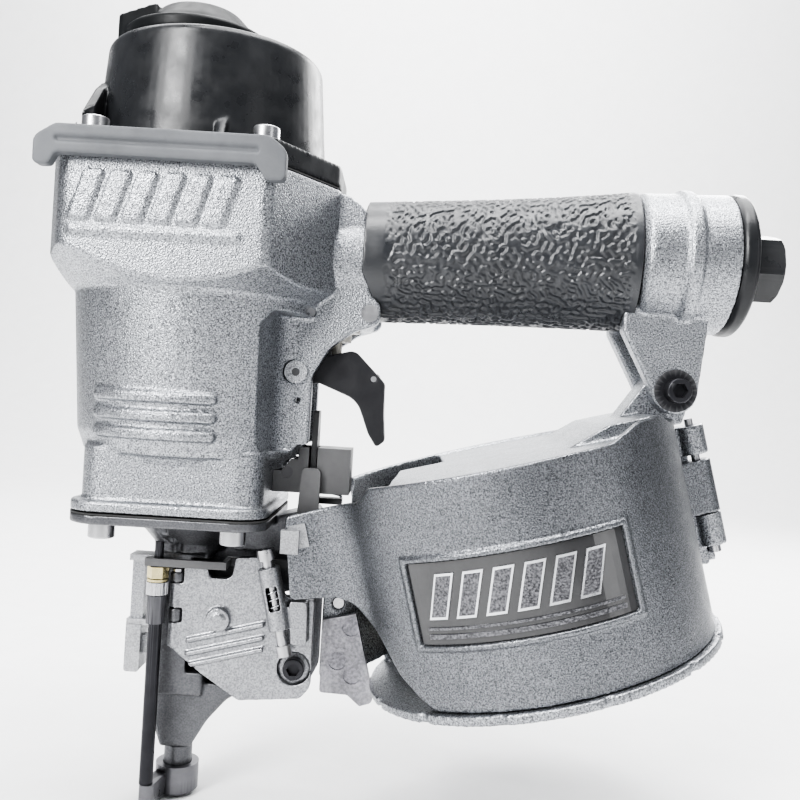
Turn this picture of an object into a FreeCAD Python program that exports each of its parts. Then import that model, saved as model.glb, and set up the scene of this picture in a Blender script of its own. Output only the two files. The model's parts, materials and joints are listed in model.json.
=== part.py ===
import FreeCAD, Part
import math, os

os.makedirs("parts", exist_ok=True)
V = FreeCAD.Vector

# ---------------- driving dimensions (mm) ----------------
R_SLEEVE_IN = 24.0      # cylinder bore radius
R_SLEEVE_OUT = 26.5
R_BARREL_LO = 40.5      # barrel casting at its lower end
R_BARREL_HI = 44.0      # barrel casting under the head
Z_FLANGE = 102.0        # underside of the casting
Z_HEAD = 214.0          # top face of the casting
Z_CAP = 262.0           # top face of the head cap
HEAD_Y = 46.0           # half width of the head
STROKE = 80.0           # piston stroke
TILT = 15.0             # magazine tilt, degrees
AX, AZ = 102.4, 151.6   # point of the magazine axis
R_DRUM = 60.5
WALL = 2.5
Z_DTOP, Z_DBOT = -25.3, -96.3
R_THREAD = 5.7          # inlet thread wall radius
HX, HY = 69.0, 2.0      # magazine cover hinge, magazine frame
PIV = (35.9, 151.0)     # trigger pivot
ADJ = (-6.8, -16.0)     # depth adjuster axis

# ---------------- helpers ----------------
def box(x0, x1, y0, y1, z0, z1):
    return Part.makeBox(x1 - x0, y1 - y0, z1 - z0, V(x0, y0, z0))

def cyl(p, d, r, h):
    return Part.makeCylinder(r, h, V(*p), V(*d))

def cyz(x, y, z0, z1, r):
    return Part.makeCylinder(r, z1 - z0, V(x, y, z0), V(0, 0, 1))

def cyy(x, z, y0, y1, r):
    return Part.makeCylinder(r, y1 - y0, V(x, y0, z), V(0, 1, 0))

def cyx(y, z, x0, x1, r):
    return Part.makeCylinder(r, x1 - x0, V(x0, y, z), V(1, 0, 0))

def conez(x, y, z0, z1, r0, r1):
    return Part.makeCone(r0, r1, z1 - z0, V(x, y, z0), V(0, 0, 1))

def ring(x, y, z0, z1, ri, ro):
    return cyz(x, y, z0, z1, ro).cut(cyz(x, y, z0 - 1, z1 + 1, ri))

def path(pts):
    """closed outline from (a, b[, r]) points, r rounds that corner"""
    n = len(pts)
    segs, ends = [], []
    for i in range(n):
        p = pts[i]
        a, b = pts[i - 1], pts[(i + 1) % n]
        r = p[2] if len(p) > 2 else 0
        if not r:
            ends.append((p[:2], p[:2], None))
            continue
        ux, uy = a[0] - p[0], a[1] - p[1]
        vx, vy = b[0] - p[0], b[1] - p[1]
        lu, lv = math.hypot(ux, uy), math.hypot(vx, vy)
        ux, uy, vx, vy = ux / lu, uy / lu, vx / lv, vy / lv
        ang = math.acos(max(-1, min(1, ux * vx + uy * vy)))
        t = min(r / math.tan(ang / 2), lu * 0.49, lv * 0.49)
        rr = t * math.tan(ang / 2)
        s = (p[0] + ux * t, p[1] + uy * t)
        e = (p[0] + vx * t, p[1] + vy * t)
        bx, by = ux + vx, uy + vy
        lb = math.hypot(bx, by)
        d = math.hypot(t, rr)
        c = (p[0] + bx / lb * d, p[1] + by / lb * d)
        mx, my = p[0] - c[0], p[1] - c[1]
        lm = math.hypot(mx, my)
        ends.append((s, e, (c[0] + mx / lm * rr, c[1] + my / lm * rr)))
    return ends

def face_of(pts, to3):
    ends = path(pts)
    edges = []
    n = len(ends)
    for i in range(n):
        s, e, m = ends[i]
        if m:
            edges.append(Part.Arc(to3(*s), to3(*m), to3(*e)).toShape())
        nx = ends[(i + 1) % n][0]
        if math.hypot(nx[0] - e[0], nx[1] - e[1]) > 1e-6:
            edges.append(Part.makeLine(to3(*e), to3(*nx)))
    return Part.Face(Part.Wire(edges))

def pxz(pts, y0, y1):
    return face_of(pts, lambda a, b: V(a, y0, b)).extrude(V(0, y1 - y0, 0))

def pxy(pts, z0, z1):
    return face_of(pts, lambda a, b: V(a, b, z0)).extrude(V(0, 0, z1 - z0))

def pyz(pts, x0, x1):
    return face_of(pts, lambda a, b: V(x0, a, b)).extrude(V(x1 - x0, 0, 0))

def revz(prof, x=0, y=0):
    f = face_of(prof, lambda a, b: V(a, 0, b))
    s = f.revolve(V(0, 0, 0), V(0, 0, 1), 360)
    s.translate(V(x, y, 0))
    return s

def revx(prof, y, z):
    f = face_of(prof, lambda a, b: V(a, 0, b))
    s = f.revolve(V(0, 0, 0), V(1, 0, 0), 360)
    s.translate(V(0, y, z))
    return s

def fuse(*s):
    r = s[0].fuse(list(s[1:])) if len(s) > 1 else s[0]
    return r.removeSplitter()

def cut(a, *b):
    return a.cut(list(b))

def solid(s):
    if s.Solids and len(s.Solids) == 1:
        return s.Solids[0]
    return s

def keep(s):
    """the largest solid of a shape"""
    return max(s.Solids, key=lambda q: q.Volume)

def both(s):
    m = s.mirror(V(0, 0, 0), V(0, 1, 0))
    return s, m

MAG = FreeCAD.Placement(V(AX, 0, AZ), FreeCAD.Rotation(V(0, 1, 0), -TILT))

def mag(s):
    """from the magazine's own frame to the tool's"""
    q = s.copy()
    q.Placement = MAG.multiply(q.Placement)
    return q

FEED = FreeCAD.Placement(V(12, 0, 62), FreeCAD.Rotation(V(0, 1, 0), -TILT))
def feed(s):
    q = s.copy()
    q.Placement = FEED.multiply(q.Placement)
    return q

def coil(r, wire, z0, z1, turns, x=0, y=0):
    """round wire compression spring along Z"""
    z0, z1 = z0 + wire, z1 - wire
    h = Part.makeHelix((z1 - z0) / turns, z1 - z0, r)
    prof = Part.Wire([Part.makeCircle(wire, V(r, 0, 0), V(0, 1, 0))])
    s = Part.Wire(h.Edges).makePipeShell([prof], True, True)
    s.translate(V(x, y, z0))
    return s

def hexz(x, y, z0, z1, af, rot=0.0):
    pts = []
    for i in range(6):
        a = math.radians(60 * i + rot)
        pts.append((x + af / math.sqrt(3) * math.cos(a), y + af / math.sqrt(3) * math.sin(a)))
    return pxy(pts, z0, z1)

def turned(s, p, d):
    """a shape built along +Z at the origin, put at p along d"""
    q = s.copy()
    q.Placement = FreeCAD.Placement(V(*p), FreeCAD.Rotation(V(0, 0, 1), V(*d))).multiply(q.Placement)
    return q

def shcs(p, d, head_r, head_h, shank_r, length, sock=None):
    """socket head cap screw: p under the head, d from shank end to head"""
    s = fuse(cyz(0, 0, 0, head_h, head_r), cyz(0, 0, -length, 0.01, shank_r))
    s = cut(s, hexz(0, 0, head_h * 0.45, head_h + 1, (sock or head_r * 1.15)))
    rim = s.Edges
    try:
        e = [k for k in s.Edges if len(k.Vertexes) == 1 and abs(k.BoundBox.ZMax - head_h) < 1e-4 and abs(k.BoundBox.ZMin - head_h) < 1e-4]
        s = s.makeFillet(head_h * 0.12, e)
    except Exception:
        pass
    return turned(s, p, d)

OUT = {}
def node(name, *shapes):
    sol = []
    for s in shapes:
        sol += s.Solids
    sh = sol[0] if len(sol) == 1 else Part.makeCompound(sol)
    OUT[name] = sh
    sh.exportStep("parts/%s.step" % name)
    print("%-26s solids %d vol %.0f valid %s" % (name, len(sol), sh.Volume, sh.isValid()), flush=True)

# =====================================================================
# main casting
# =====================================================================
PLAN = [(28.5, -HEAD_Y, 4), (47.5, -15, 6), (47.5, 15, 6), (28.5, HEAD_Y, 4), (-36, HEAD_Y, 8), (-43, 34, 10), (-43, -34, 10), (-36, -HEAD_Y, 8)]
BASE = [(-31, -33, 9), (29, -33, 9), (29, 33, 9), (-31, 33, 9)]

barrel = revz([(0, 121), (38.0, 121), (R_BARREL_LO, 128, 4), (R_BARREL_HI, 178), (R_BARREL_HI, 186), (0, 186)])
head = pxy(PLAN, 188, Z_HEAD)
taper = conez(0, 0, 174, 190, R_BARREL_HI - 0.6, 63).common(pxy(PLAN, 174, 190))
base = pxy(BASE, Z_FLANGE, 123)
blend = conez(0, 0, 117, 128, 33, R_BARREL_LO).common(pxy([(-41, -41), (41, -41), (41, 41), (-41, 41)], 117, 128))
foot = pxy([(-34, -36, 11), (31, -36, 11), (31, 36, 11), (-34, 36, 11)], Z_FLANGE, Z_FLANGE + 3.5)
# handle core, the air reservoir
def ell(x, z, a, b):
    return Part.Wire([Part.Ellipse(V(x, 0, z + a), V(x, b, z), V(x, 0, z)).toShape()])
core = Part.makeLoft([ell(40, 190.5, 19.0, 16.5), ell(100, 194.5, 19.6, 16.8), ell(156, 197.8, 21.0, 17.8)], True)
root = pxz([(24, 213), (24, 167), (60, 167.2, 3), (63, 173, 6), (57, 186), (57, 208, 6), (50, 213, 4)], -14.0, 14.0)
boss = revx([(151, 0), (151, 21.5, 1), (153, 23.8, 2), (165, 24.3), (166.2, 25.6, .8), (169.8, 25.6, .8), (171, 24.3), (183, 24.8), (183, 0)], 0, 198.2)
cheek = pxz([(24, 126), (41.5, 126, 2), (41.5, 150, 4), (47, 160, 8), (55, 166, 5), (63.5, 169, 3), (63.5, 176, 3), (56, 182), (24, 182)], -14, -9)
cheek2 = cheek.mirror(V(0, 0, 0), V(0, 1, 0))
ear = pxz([(147, 184), (147.4, 172, 2), (158.6, 151.5), (174.3, 151.5), (176.3, 172, 2), (176.5, 184)], -13, -7)
ear = fuse(ear, cyy(166.4, 152.2, -13, -7, 8.0))
ear2 = ear.mirror(V(0, 0, 0), V(0, 1, 0))
earweb = pxz([(149, 184), (149, 173.5), (175, 173.5), (175, 184)], -13, 13)

body = fuse(barrel, head, taper, base, blend, foot, core, root, boss, cheek, cheek2, ear, ear2, earweb)

for sgn in (-1, 1):
    side_cut = [(26.0, sgn * 70), (26.0, sgn * 31.5, 4), (30.8, sgn * 14.02, 9), (80, sgn * 14.02), (80, sgn * 70)]
    side_cut = pxy(side_cut if sgn < 0 else side_cut[::-1], 124, 170).common(pxz([(10, 120), (80, 120), (80, 171), (30, 171), (26, 165, 5), (10, 165)], -80, 80))
    body = cut(body, side_cut)
# cooling ribs, a round-ended band proud of the barrel, near and far
for k, zr in enumerate((134.0, 128.1, 140.0)):
    rr = R_BARREL_LO + (zr - 128) * 0.07 + 1.5
    band = ring(0, 0, zr - 1.5, zr + 1.5, rr - 4, rr)
    band = band.common(fuse(box(-25, 13, -60, 60, 100, 160), cyy(-25, zr, -60, 60, 1.5), cyy(13, zr, -60, 60, 1.5)))
    body = body.fuse(band)

# raised generic relief on the near and far faces of the head: slanted bars and an underline
def relief(y0, y1):
    out = [pxz([(-33, 189.2, .8), (19.5, 189.2, .8), (19.5, 191.2, .8), (-33, 191.2, .8)], y0, y1)]
    for i in range(6):
        x = -33 + i * 8.3
        out.append(pxz([(x, 193.6, .8), (x + 5.6, 193.6, .8), (x + 10.2, 208.2, .8), (x + 4.6, 208.2, .8)], y0, y1))
    return out
body = body.fuse(relief(-HEAD_Y - 0.7, -HEAD_Y + 0.5) + relief(HEAD_Y - 0.5, HEAD_Y + 0.7))

# hollows
chamber = revz([(0, 122), (34.5, 122, 3), (36.8, 128, 4), (40, 178), (40, Z_HEAD + 1), (0, Z_HEAD + 1)])
chamber = cut(chamber, box(23.6, 60, -60, 60, 98, 171))
chamber = fuse(chamber, cyz(0, 0, 123, 200, 27.4))
body = cut(body, chamber, cyz(0, 0, 104, 124, R_SLEEVE_OUT + 0.05), cyz(0, 0, 100, 106, 23.0),
           box(30.6, 80, -9.0, 9.0, 118, 163.6),                                   # trigger pocket
           pxz([(30.6, 163), (30.6, 164.2), (62, 164.2, 4), (66, 160)], -9, 9))
air = Part.makeLoft([Part.Wire([Part.makeCircle(12.5, V(x, 0, z), V(1, 0, 0))]) for x, z in ((34, 191.5), (150, 197.6))], True)
body = cut(body, air, cyx(0, 198.2, 149, 170, 14.0), cyx(0, 198.2, 169.5, 184, 19.0))
# trigger valve bore, pin holes, screw holes
body = cut(body, cyz(48.4, 0, 165.5, 192, 8.05), cyz(48.4, 0, 160, 170, 5.2))
body = cut(body, cyy(PIV[0], PIV[1], -20, 20, 2.95), cyy(39.8, 171.8, -20, 20, 1.55), cyy(36.8, 141.4, -20, 20, 1.05),
           cyy(60, 172.4, -20, 20, 2.05), cyy(166.4, 152.2, -20, 20, 2.6))
for sx in (-1, 1):
    for sy in (-1, 1):
        body = cut(body, cyz(27 * sx - 2, 38 * sy, 196, 215, 2.55))
for x in (-23, 20):
    for y in (-28, 28):
        body = cut(body, cyz(x, y, 101, 117, 2.55))
body = cut(body, cyy(PIV[0], PIV[1], -40, -14.0, 4.3), cyy(PIV[0], PIV[1], 14.0, 40, 4.3))
FRAME = keep(body)
node("frame_casting", FRAME)

# =====================================================================
# head: gasket, cap, head valve, exhaust deflector, guards, screws
# =====================================================================
gasket = cut(pxy(PLAN, Z_HEAD, 214.6), cyz(0, 0, 210, 220, 36.0))
cap = pxy(PLAN, 214.6, 222.0)
dome = revz([(0, 221), (40.2, 221), (40.0, 226), (37.2, 259.0, 3), (30, Z_CAP - 0.9, 3), (28, Z_CAP), (0, Z_CAP)])
fins = []
for xf, w in ((-34.5, 3.0), (9.5, 3.0)):
    for sy in (-1, 1):
        y0 = sy * 30 if abs(xf) > 20 else sy * 36
        fins.append(pyz([(sy * 43, 221.9), (sy * 20, 221.9), (sy * 20, 244), (y0 * 0.86, 240)], xf, xf + w))
cap = fuse(cap, dome, *fins)
cap = cut(cap, cyz(0, 0, 210, 250.5, 34.0), cyz(7, 0, 249, 270, 6.0))
tube = cut(cyz(0, 0, 232.6, 251, 12.0), cyz(0, 0, 230, 250.4, 9.5), cyz(7, 0, 249, 255, 6.0))
cap = fuse(cap, tube)
for sx in (-1, 1):
    for sy in (-1, 1):
        gasket = cut(gasket, cyz(27 * sx - 2, 38 * sy, 210, 225, 2.7))
        cap = cut(cap, cyz(27 * sx - 2, 38 * sy, 210, 230, 2.7), cyz(27 * sx - 2, 38 * sy, 221.9, 250, 5.6))
cap = cut(cap, cyz(-7, 0, 252, 263, 2.05))
node("head_cap", keep(cap))
node("cap_screws", *[shcs((27 * sx - 2, 38 * sy, 221.9), (0, 0, 1), 4.25, 5.0, 2.5, 22, 4.6) for sx in (-1, 1) for sy in (-1, 1)])

valve = revz([(12.8, 206.3), (31.5, 206.3, 1), (31.5, 212), (33.7, 213.5), (33.7, 226, .6), (12.8, 226)])
valve = cut(valve, ring(0, 0, 218, 221, 32.2, 40))
node("head_valve", valve, ring(0, 0, 218.1, 220.9, 32.25, 33.9))
node("head_valve_spring", coil(22, 1.2, 226.1, 250.3, 4))

defl = revz([(0, 262.35), (26, 262.35, 1), (26, 267.0, 1.5), (21.5, 268.2), (19.5, 270.5), (14, 276.0, 4), (6, 278, 3), (0, 278)], -7, 0)
spout = pxy([(-33.5, -11, 3), (-18, -17), (-18, 17), (-33.5, 11, 3)], 262.35, 273.5).cut(turned(box(-60, 60, -60, 60, 0, 20), (-33.5, 0, 271.2), (-0.16, 0, 1)))
defl = fuse(defl, spout)
defl = cut(defl, cyz(-7, 0, 262, 266.5, 22.5), box(-40, -20, -8, 8, 262, 269), cyz(-7, 0, 273.6, 280, 5.4))
defl = fuse(defl, cut(cyz(-7, 0, 262.35, 267, 6.5)))
defl = cut(defl, cyz(-7, 0, 260, 280, 2.1))
node("exhaust_deflector", keep(defl))
node("deflector_screw", shcs((-7, 0, 273.75), (0, 0, 1), 5.0, 3.4, 2.0, 18.5, 4.4))

# rubber bumper bars, near and far, hooked at both ends
def guard(s):
    a, b = (-HEAD_Y - 4.2, -HEAD_Y - 0.05) if s < 0 else (HEAD_Y + 0.05, HEAD_Y + 4.2)
    bar = pxz([(-43.5, 208.5, 2), (-38.5, 208.5, 2), (-36.5, 212.4, 2), (24, 212.4, 2), (27.5, 207.5, 2), (33.5, 207.5, 2), (33.5, 217, 4), (28, 221.2, 4), (-37, 221.2, 4), (-43.5, 217, 4)], a, b)
    g0, g1 = (a - 1, a + 0.8) if s < 0 else (b - 0.8, b + 1)
    return cut(bar, pxz([(-37, 215.6, .7), (25, 215.6, .7), (25, 217.4, .7), (-37, 217.4, .7)], g0, g1))
node("side_guards", guard(-1), guard(1))

# =====================================================================
# cylinder, piston, bumper
# =====================================================================
sleeve = cut(cyz(0, 0, 104.05, 206, R_SLEEVE_OUT), cyz(0, 0, 100, 210, R_SLEEVE_IN))
sleeve = fuse(sleeve, ring(0, 0, 186, 194, R_SLEEVE_IN + 1, 39.0))
for z in (108, 116):
    sleeve = cut(sleeve, ring(0, 0, z, z + 2.2, R_SLEEVE_OUT - 1.1, R_SLEEVE_OUT + 2))
sleeve = cut(sleeve, ring(0, 0, 188.6, 191.4, 37.3, 42))
for k in range(8):
    a = math.radians(45 * k + 22)
    sleeve = cut(sleeve, cyl((20 * math.cos(a), 20 * math.sin(a), 128), (math.cos(a), math.sin(a), 0), 1.6, 10))
node("cylinder_sleeve", keep(sleeve))
SEALS = [ring(0, 0, z + 0.05, z + 2.15, R_SLEEVE_OUT - 1.05, R_SLEEVE_OUT + 0.04) for z in (108, 116)] + [ring(0, 0, 188.7, 191.3, 37.35, 39.9)]
piston = revz([(0, 190.4), (14, 190.4), (R_SLEEVE_IN - 0.3, 193.5, .8), (R_SLEEVE_IN - 0.3, 202.4, .8), (17, 202.4), (15, 199.5), (0, 199.5)])
piston = cut(piston, ring(0, 0, 196.0, 199.0, 22.2, 30), cyz(0, 0, 185, 196.5, 3.0))
node("piston", piston)
node("piston_ring", ring(0, 0, 196.1, 198.9, 22.3, R_SLEEVE_IN - 0.06))
node("driver_blade", fuse(cyz(0, 0, 92.0, 196.4, 2.95), conez(0, 0, 91.0, 92.0, 2.6, 2.95)))
bump = revz([(4.0, 101.65), (22.7, 101.65), (22.7, 104.0), (23.7, 104.6), (23.7, 107.5, 1), (20, 110.0, 1), (4.0, 110.0, 1)])
node("piston_bumper", bump)

# =====================================================================
# handle: grip, end cap, inlet
# =====================================================================
def ell2(x, z, a, b):
    return ell(x, z, a, b)
g_out = Part.makeLoft([ell(55, 191.9, 21.3, 18.9), ell(80, 193.3, 21.8, 19.4), ell(118, 195.4, 23.0, 20.2), ell(151.5, 197.6, 24.9, 21.5)], True, False)
g_in = Part.makeLoft([ell(40, 190.5, 19.05, 16.55), ell(100, 194.5, 19.65, 16.85), ell(156, 197.8, 21.05, 17.85)], True)
grip = cut(g_out, g_in)
grip = cut(grip, pxz([(50, 220), (50, 165), (62.5, 165), (62.5, 173.5, 3), (56.6, 186), (56.6, 208, 3), (57.5, 214), (57.5, 220)], -30, 30), box(150.9, 160, -30, 30, 160, 230))
node("handle_grip", keep(cut(grip, FRAME)))

ec = revx([(171, 9.05), (171, 18.7), (183.1, 18.7), (183.1, 24.2, .5), (184.5, 25.2, 1), (188, 25.2, 1.2), (189.2, 23.5, .6), (189.2, 9.05)], 0, 198.2)
ec = cut(ec, revx([(174.8, 17.2), (174.8, 22), (177.4, 22), (177.4, 17.2)], 0, 198.2))
node("handle_end_cap", ec)
SEALS.append(revx([(174.9, 17.3), (174.9, 18.97), (177.3, 18.97), (177.3, 17.3)], 0, 198.2))
hexpts = [(22 / math.sqrt(3) * math.cos(math.radians(60 * i + 17)), 198.2 + 22 / math.sqrt(3) * math.sin(math.radians(60 * i + 17))) for i in range(6)]
bush = pyz(hexpts, 189.3, 202.8)
bush = bush.common(revx([(189.3, 0), (189.3, 11.6), (190.4, 12.9), (201.4, 12.9), (202.8, 11.3), (202.8, 0)], 0, 198.2))
bush = fuse(bush, cyx(0, 198.2, 176, 189.4, 9.0))
bush = cut(bush, cyx(0, 198.2, 186.8, 204, R_THREAD), cyx(0, 198.2, 175, 188, 4.4))
node("air_inlet_bushing", keep(bush))
mesh = cyx(0, 198.2, 171.5, 175.9, 8.0).cut(cyx(0, 198.2, 172.3, 176.5, 7.0))
for a in range(-2, 3):
    for b in range(-2, 3):
        if abs(a) + abs(b) < 4:
            mesh = cut(mesh, cyx(a * 2.5, 198.2 + b * 2.5, 170, 174, 0.8))
node("inlet_filter", keep(mesh))

# =====================================================================
# trigger and valve
# =====================================================================
side = [(31.6, 147.5, 3), (43, 147.9, 3), (57, 142.5, 9), (61.5, 131), (64.6, 126.4, 1), (67.4, 128.6, 1), (66.6, 138, 8), (66.3, 149.2, 3), (55.3, 160, 4), (41.5, 156.2, 3), (31.6, 155.2, 3)]
walls = pxz(side, -8, -6.2).fuse(pxz(side, 6.2, 8))
finger = pxz([(57, 142.5, 7), (61.5, 131), (64.6, 126.4, 1), (67.4, 128.6, 1), (66.6, 138, 8), (66.3, 147.5, 1), (64.4, 147.5), (64.3, 139, 7), (62.6, 134.5, 2), (59.0, 142.5, 5), (46, 148.3), (45.0, 147.3)], -8, 8)
trig = fuse(walls, finger, cyy(PIV[0], PIV[1], -8, -6.2, 4.6), cyy(PIV[0], PIV[1], 6.2, 8, 4.6), cyy(PIV[0], PIV[1], -8, -3.2, 4.4), cyy(PIV[0], PIV[1], 3.2, 8, 4.4))
trig = cut(trig, cyy(PIV[0], PIV[1], -20, 20, 3.0), cyy(62.4, 150.2, -20, 20, 1.05), box(0, 30.7, -9, 9, 140, 160))
node("trigger", keep(trig))
node("trigger_pin", fuse(cyy(PIV[0], PIV[1], -14.6, 14.6, 2.92), cyy(PIV[0], PIV[1], -15.4, -14.05, 3.9), cyy(PIV[0], PIV[1], 14.05, 15.4, 3.9)))
lever = fuse(pxz([(43.5, 151.2, 1), (60.0, 149.0, 1), (64.6, 148.4, 1), (64.6, 152.0, 1.4), (60.6, 152.4, 1), (53.0, 153.4, 1), (43.5, 153.2, 1)], -4.6, 4.6))
lever = cut(lever, cyy(62.4, 150.2, -10, 10, 1.1))
node("trip_lever", keep(lever))
node("trip_lever_pin", cyy(62.4, 150.2, -8.2, 8.2, 1.03))
vb = fuse(cyz(48.4, 0, 166.2, 182, 8.0), cyz(48.4, 0, 162.9, 167, 5.0))
vb = cut(vb, cyz(48.4, 0, 160, 190, 1.85), cyz(48.4, 0, 169, 182.5, 5.5), ring(48.4, 0, 167.4, 169.2, 6.9, 10), cyy(39.9, 171.8, -20, 20, 1.6))
vb = cut(vb, *[cyl((48.4, 0, 177), (math.cos(math.radians(a)), math.sin(math.radians(a)), 0), 1.3, 9) for a in (0, 72, 144, 216, 288)])
node("trigger_valve_body", keep(vb))
SEALS.append(ring(48.4, 0, 167.45, 169.15, 7.0, 8.03))
node("seal_rings", *SEALS)
node("trigger_valve_stem", fuse(cyz(48.4, 0, 155.6, 176.0, 1.75), cyz(48.4, 0, 169.6, 171.4, 4.6), conez(48.4, 0, 176.0, 177.2, 1.75, 1.0)))
node("trigger_valve_spring", coil(3.4, 0.4, 171.45, 181.9, 5, 48.4, 0))
node("frame_pins", cyy(39.8, 171.8, -13.8, 13.8, 1.5), fuse(cyy(60, 172.4, -14.6, 14.6, 2.0), cyy(60, 172.4, -15.2, -14.05, 3.0), cyy(60, 172.4, 14.05, 15.2, 3.0)))

# =====================================================================
# nose
# =====================================================================
nflange = pxy([(-34, -36, 11), (31, -36, 11), (31, 36, 11), (-34, 36, 11)], 98.0, 101.0)
hub = revz([(0, 86), (12.0, 86), (12.5, 89), (20.5, 98.1), (20.5, 101.0), (0, 101)])
col = pxy([(-9, -8.7, 2), (9, -8.7, 2), (9, 8.5, 2), (-9, 8.5, 2)], 36, 88)
lowc = pxz([(-8.6, 38), (-8.6, 26, 4), (-5.2, 17), (5.2, 17), (10.8, 27, 20), (18.5, 36, 8), (34, 38), (34, 40), (-8.6, 40)], -6.5, 6.5)
tip = cyz(0, 0, 8.6, 18, 5.0)
farw = pxz([(0, 38), (34, 37), (45, 39.5, 5), (48, 46, 4), (48, 80), (48, 100, 2), (20, 97.9), (20, 88), (0, 88)], 3.6, 8.5)
upper = pxz([(17, 87.5), (48, 87.5), (48, 99, 2), (45, 104.0, 2), (32, 100.4), (32, 97.4), (17, 97.4)], -7.5, 8.5)
fcol = fuse(box(-17.5, -13.2, -9, -3, 61, 83), box(-18.3, -8.5, -10.5, -2.5, 82.5, 84.6), box(-18.3, -8.5, -10.5, -2.5, 60.2, 62.2), pxz([(-18.2, 44, 1), (-13, 44, 1), (-13, 60.4), (-18.2, 60.4)], -11, -2), box(-15, -8.8, -8, -4, 50, 56))
nose = fuse(nflange, hub, col, lowc, tip, farw, upper)
for z0, z1 in ((63.0, 67.5), (76.6, 80.0)):
    nose = fuse(nose, cyz(-1, -12, z0, z1, 2.5), box(-3.3, 1.3, -12, -8, z0, z1))
nose = cut(nose, cyz(-1, -12, 40, 90, 1.25))
nose = cut(nose, cyz(0, 0, 5, 105, 3.05), cyz(0, 0, 5, 86, 3.6), cyz(0, 0, 98, 102, 3.9),
           pxz([(0, 44), (60, 44), (60, 84), (0, 84)], -12, 3.5).common(box(-0, 60, -3.5, 3.5, 44, 84)),
           box(2.5, 12, -9, -3.4, 44, 84))
for x in (-23, 20):
    for y in (-28, 28):
        nose = cut(nose, cyz(x, y, 95, 105, 2.7))
nose = cut(nose, cyy(28, 60, 2, 12, 5.0), cyy(28, 74, 2, 12, 2.05))
nose = cut(nose, cyy(44.5, 92, 2, 12, 2.05), cyy(41, 49.2, 0, 12, 1.5))
nose = cut(nose, cyz(ADJ[0], ADJ[1], 84, 99.5, 2.3), box(-11.6, -2.0, -20, -12.6, 82, 92.2), feed(box(-2.2, 27, 2.2, 9.2, -3.2, 3.2)))
node("nose_body", keep(nose))
node("nose_front_guide", keep(fcol.cut(box(-9.05, 20, -20, 20, 40, 90))))
ngask = cut(pxy([(-34, -36, 11), (31, -36, 11), (31, 36, 11), (-34, 36, 11)], 101.02, 101.6), cyz(0, 0, 99, 103, 22.9))
for x in (-23, 20):
    for y in (-28, 28):
        ngask = cut(ngask, cyz(x, y, 95, 105, 2.7))
node("gaskets", gasket, ngask)
node("nose_screws", *[shcs((x, y, 97.9), (0, 0, -1), 4.25, 5.0, 2.5, 17, 4.6) for x in (-23, 20) for y in (-28, 28)])
washers = [ring(x, y, 97.0 - 0.0, 97.9, 2.6, 5.2) for x in (-23, 20) for y in (-28, 28)]

# contact foot, adjuster and upper arm
ffoot = fuse(cyz(0, 0, 0.6, 9.8, 7.5), pxy([(-9.3, -18.5, 2), (-4.2, -18.5, 2), (-2.0, -5), (-6.0, -4)], 1.0, 8.0), cyz(0, 0, 0, 0.7, 6.9))
ffoot = cut(ffoot, cyz(0, 0, -1, 20, 5.08), cyz(ADJ[0], ADJ[1], -1, 9, 1.9))
node("contact_foot", keep(ffoot))
node("foot_insert", ring(0, 0, 0.15, 1.9, 3.7, 5.0))
rod = fuse(cyz(ADJ[0], ADJ[1], 1.2, 9, 1.85), cyz(ADJ[0], ADJ[1], 8.1, 63, 2.3), cyz(ADJ[0], ADJ[1], 62.9, 72.4, 3.2), cyz(ADJ[0], ADJ[1], 72.3, 90.5, 1.5))
node("contact_rod", rod)
wheel = cut(cyz(*ADJ, 72.7, 76.9, 3.6), cyz(*ADJ, 70, 80, 1.55))
for k in range(14):
    a = 2 * math.pi * k / 14
    wheel = cut(wheel, cyz(ADJ[0] + 3.75 * math.cos(a), ADJ[1] + 3.75 * math.sin(a), 70, 80, 0.38))
node("depth_adjust_wheel", keep(wheel))
node("adjust_nut", ring(*ADJ, 77.2, 78.0, 1.55, 3.5), cut(hexz(*ADJ, 78.3, 82.2, 6.2, 10), cyz(*ADJ, 70, 90, 1.55)))
ua = fuse(pxy([(-11, -19.2, 1), (-2.6, -19.2, 1), (-2.6, -13.2, 2), (-11, -13.2, 2)], 82.6, 85.0),
          box(-10.5, 16.8, -19.2, -17.4, 82.6, 85.2),
          box(15.2, 16.8, -19.2, -8.4, 82.6, 85.2), box(15.2, 46, -10.2, -8.4, 82.6, 85.4),
          pxz([(36.5, 82.7), (46, 82.7), (46, 118, 2), (39.5, 118, 2), (38, 92, 6)], -10.2, -8.4), box(41.8, 43.8, -10.2, 5.0, 105, 118),
          pyz([(-5, 117), (5, 117), (4, 138, 1.5), (-4, 138, 1.5)], 41.8, 43.8),
          box(43.5, 53.4, -3, 3, 105, 107))
ua = cut(ua, cyz(*ADJ, 80, 90, 1.55))
node("upper_contact_arm", keep(ua))
guide = box(29.1, 56, -7.4, 9, 109, 125)
guide = cut(guide, box(41.3, 44.3, -10, 5.6, 100, 130), box(44.2, 54.6, -4.6, 4.6, 100, 122.5), box(29, 41, -3, 4, 112, 130), cyy(34, 116, -10, 10, 2.05))
guide = cut(guide, conez(0, 0, 116.5, 128, 33.0, 41.3), cyz(0, 0, 120.6, 130, 38.4))
node("contact_arm_guide", keep(guide))
node("contact_spring", coil(3.4, 0.5, 107.05, 122.45, 5, 49.5, 0))

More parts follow.
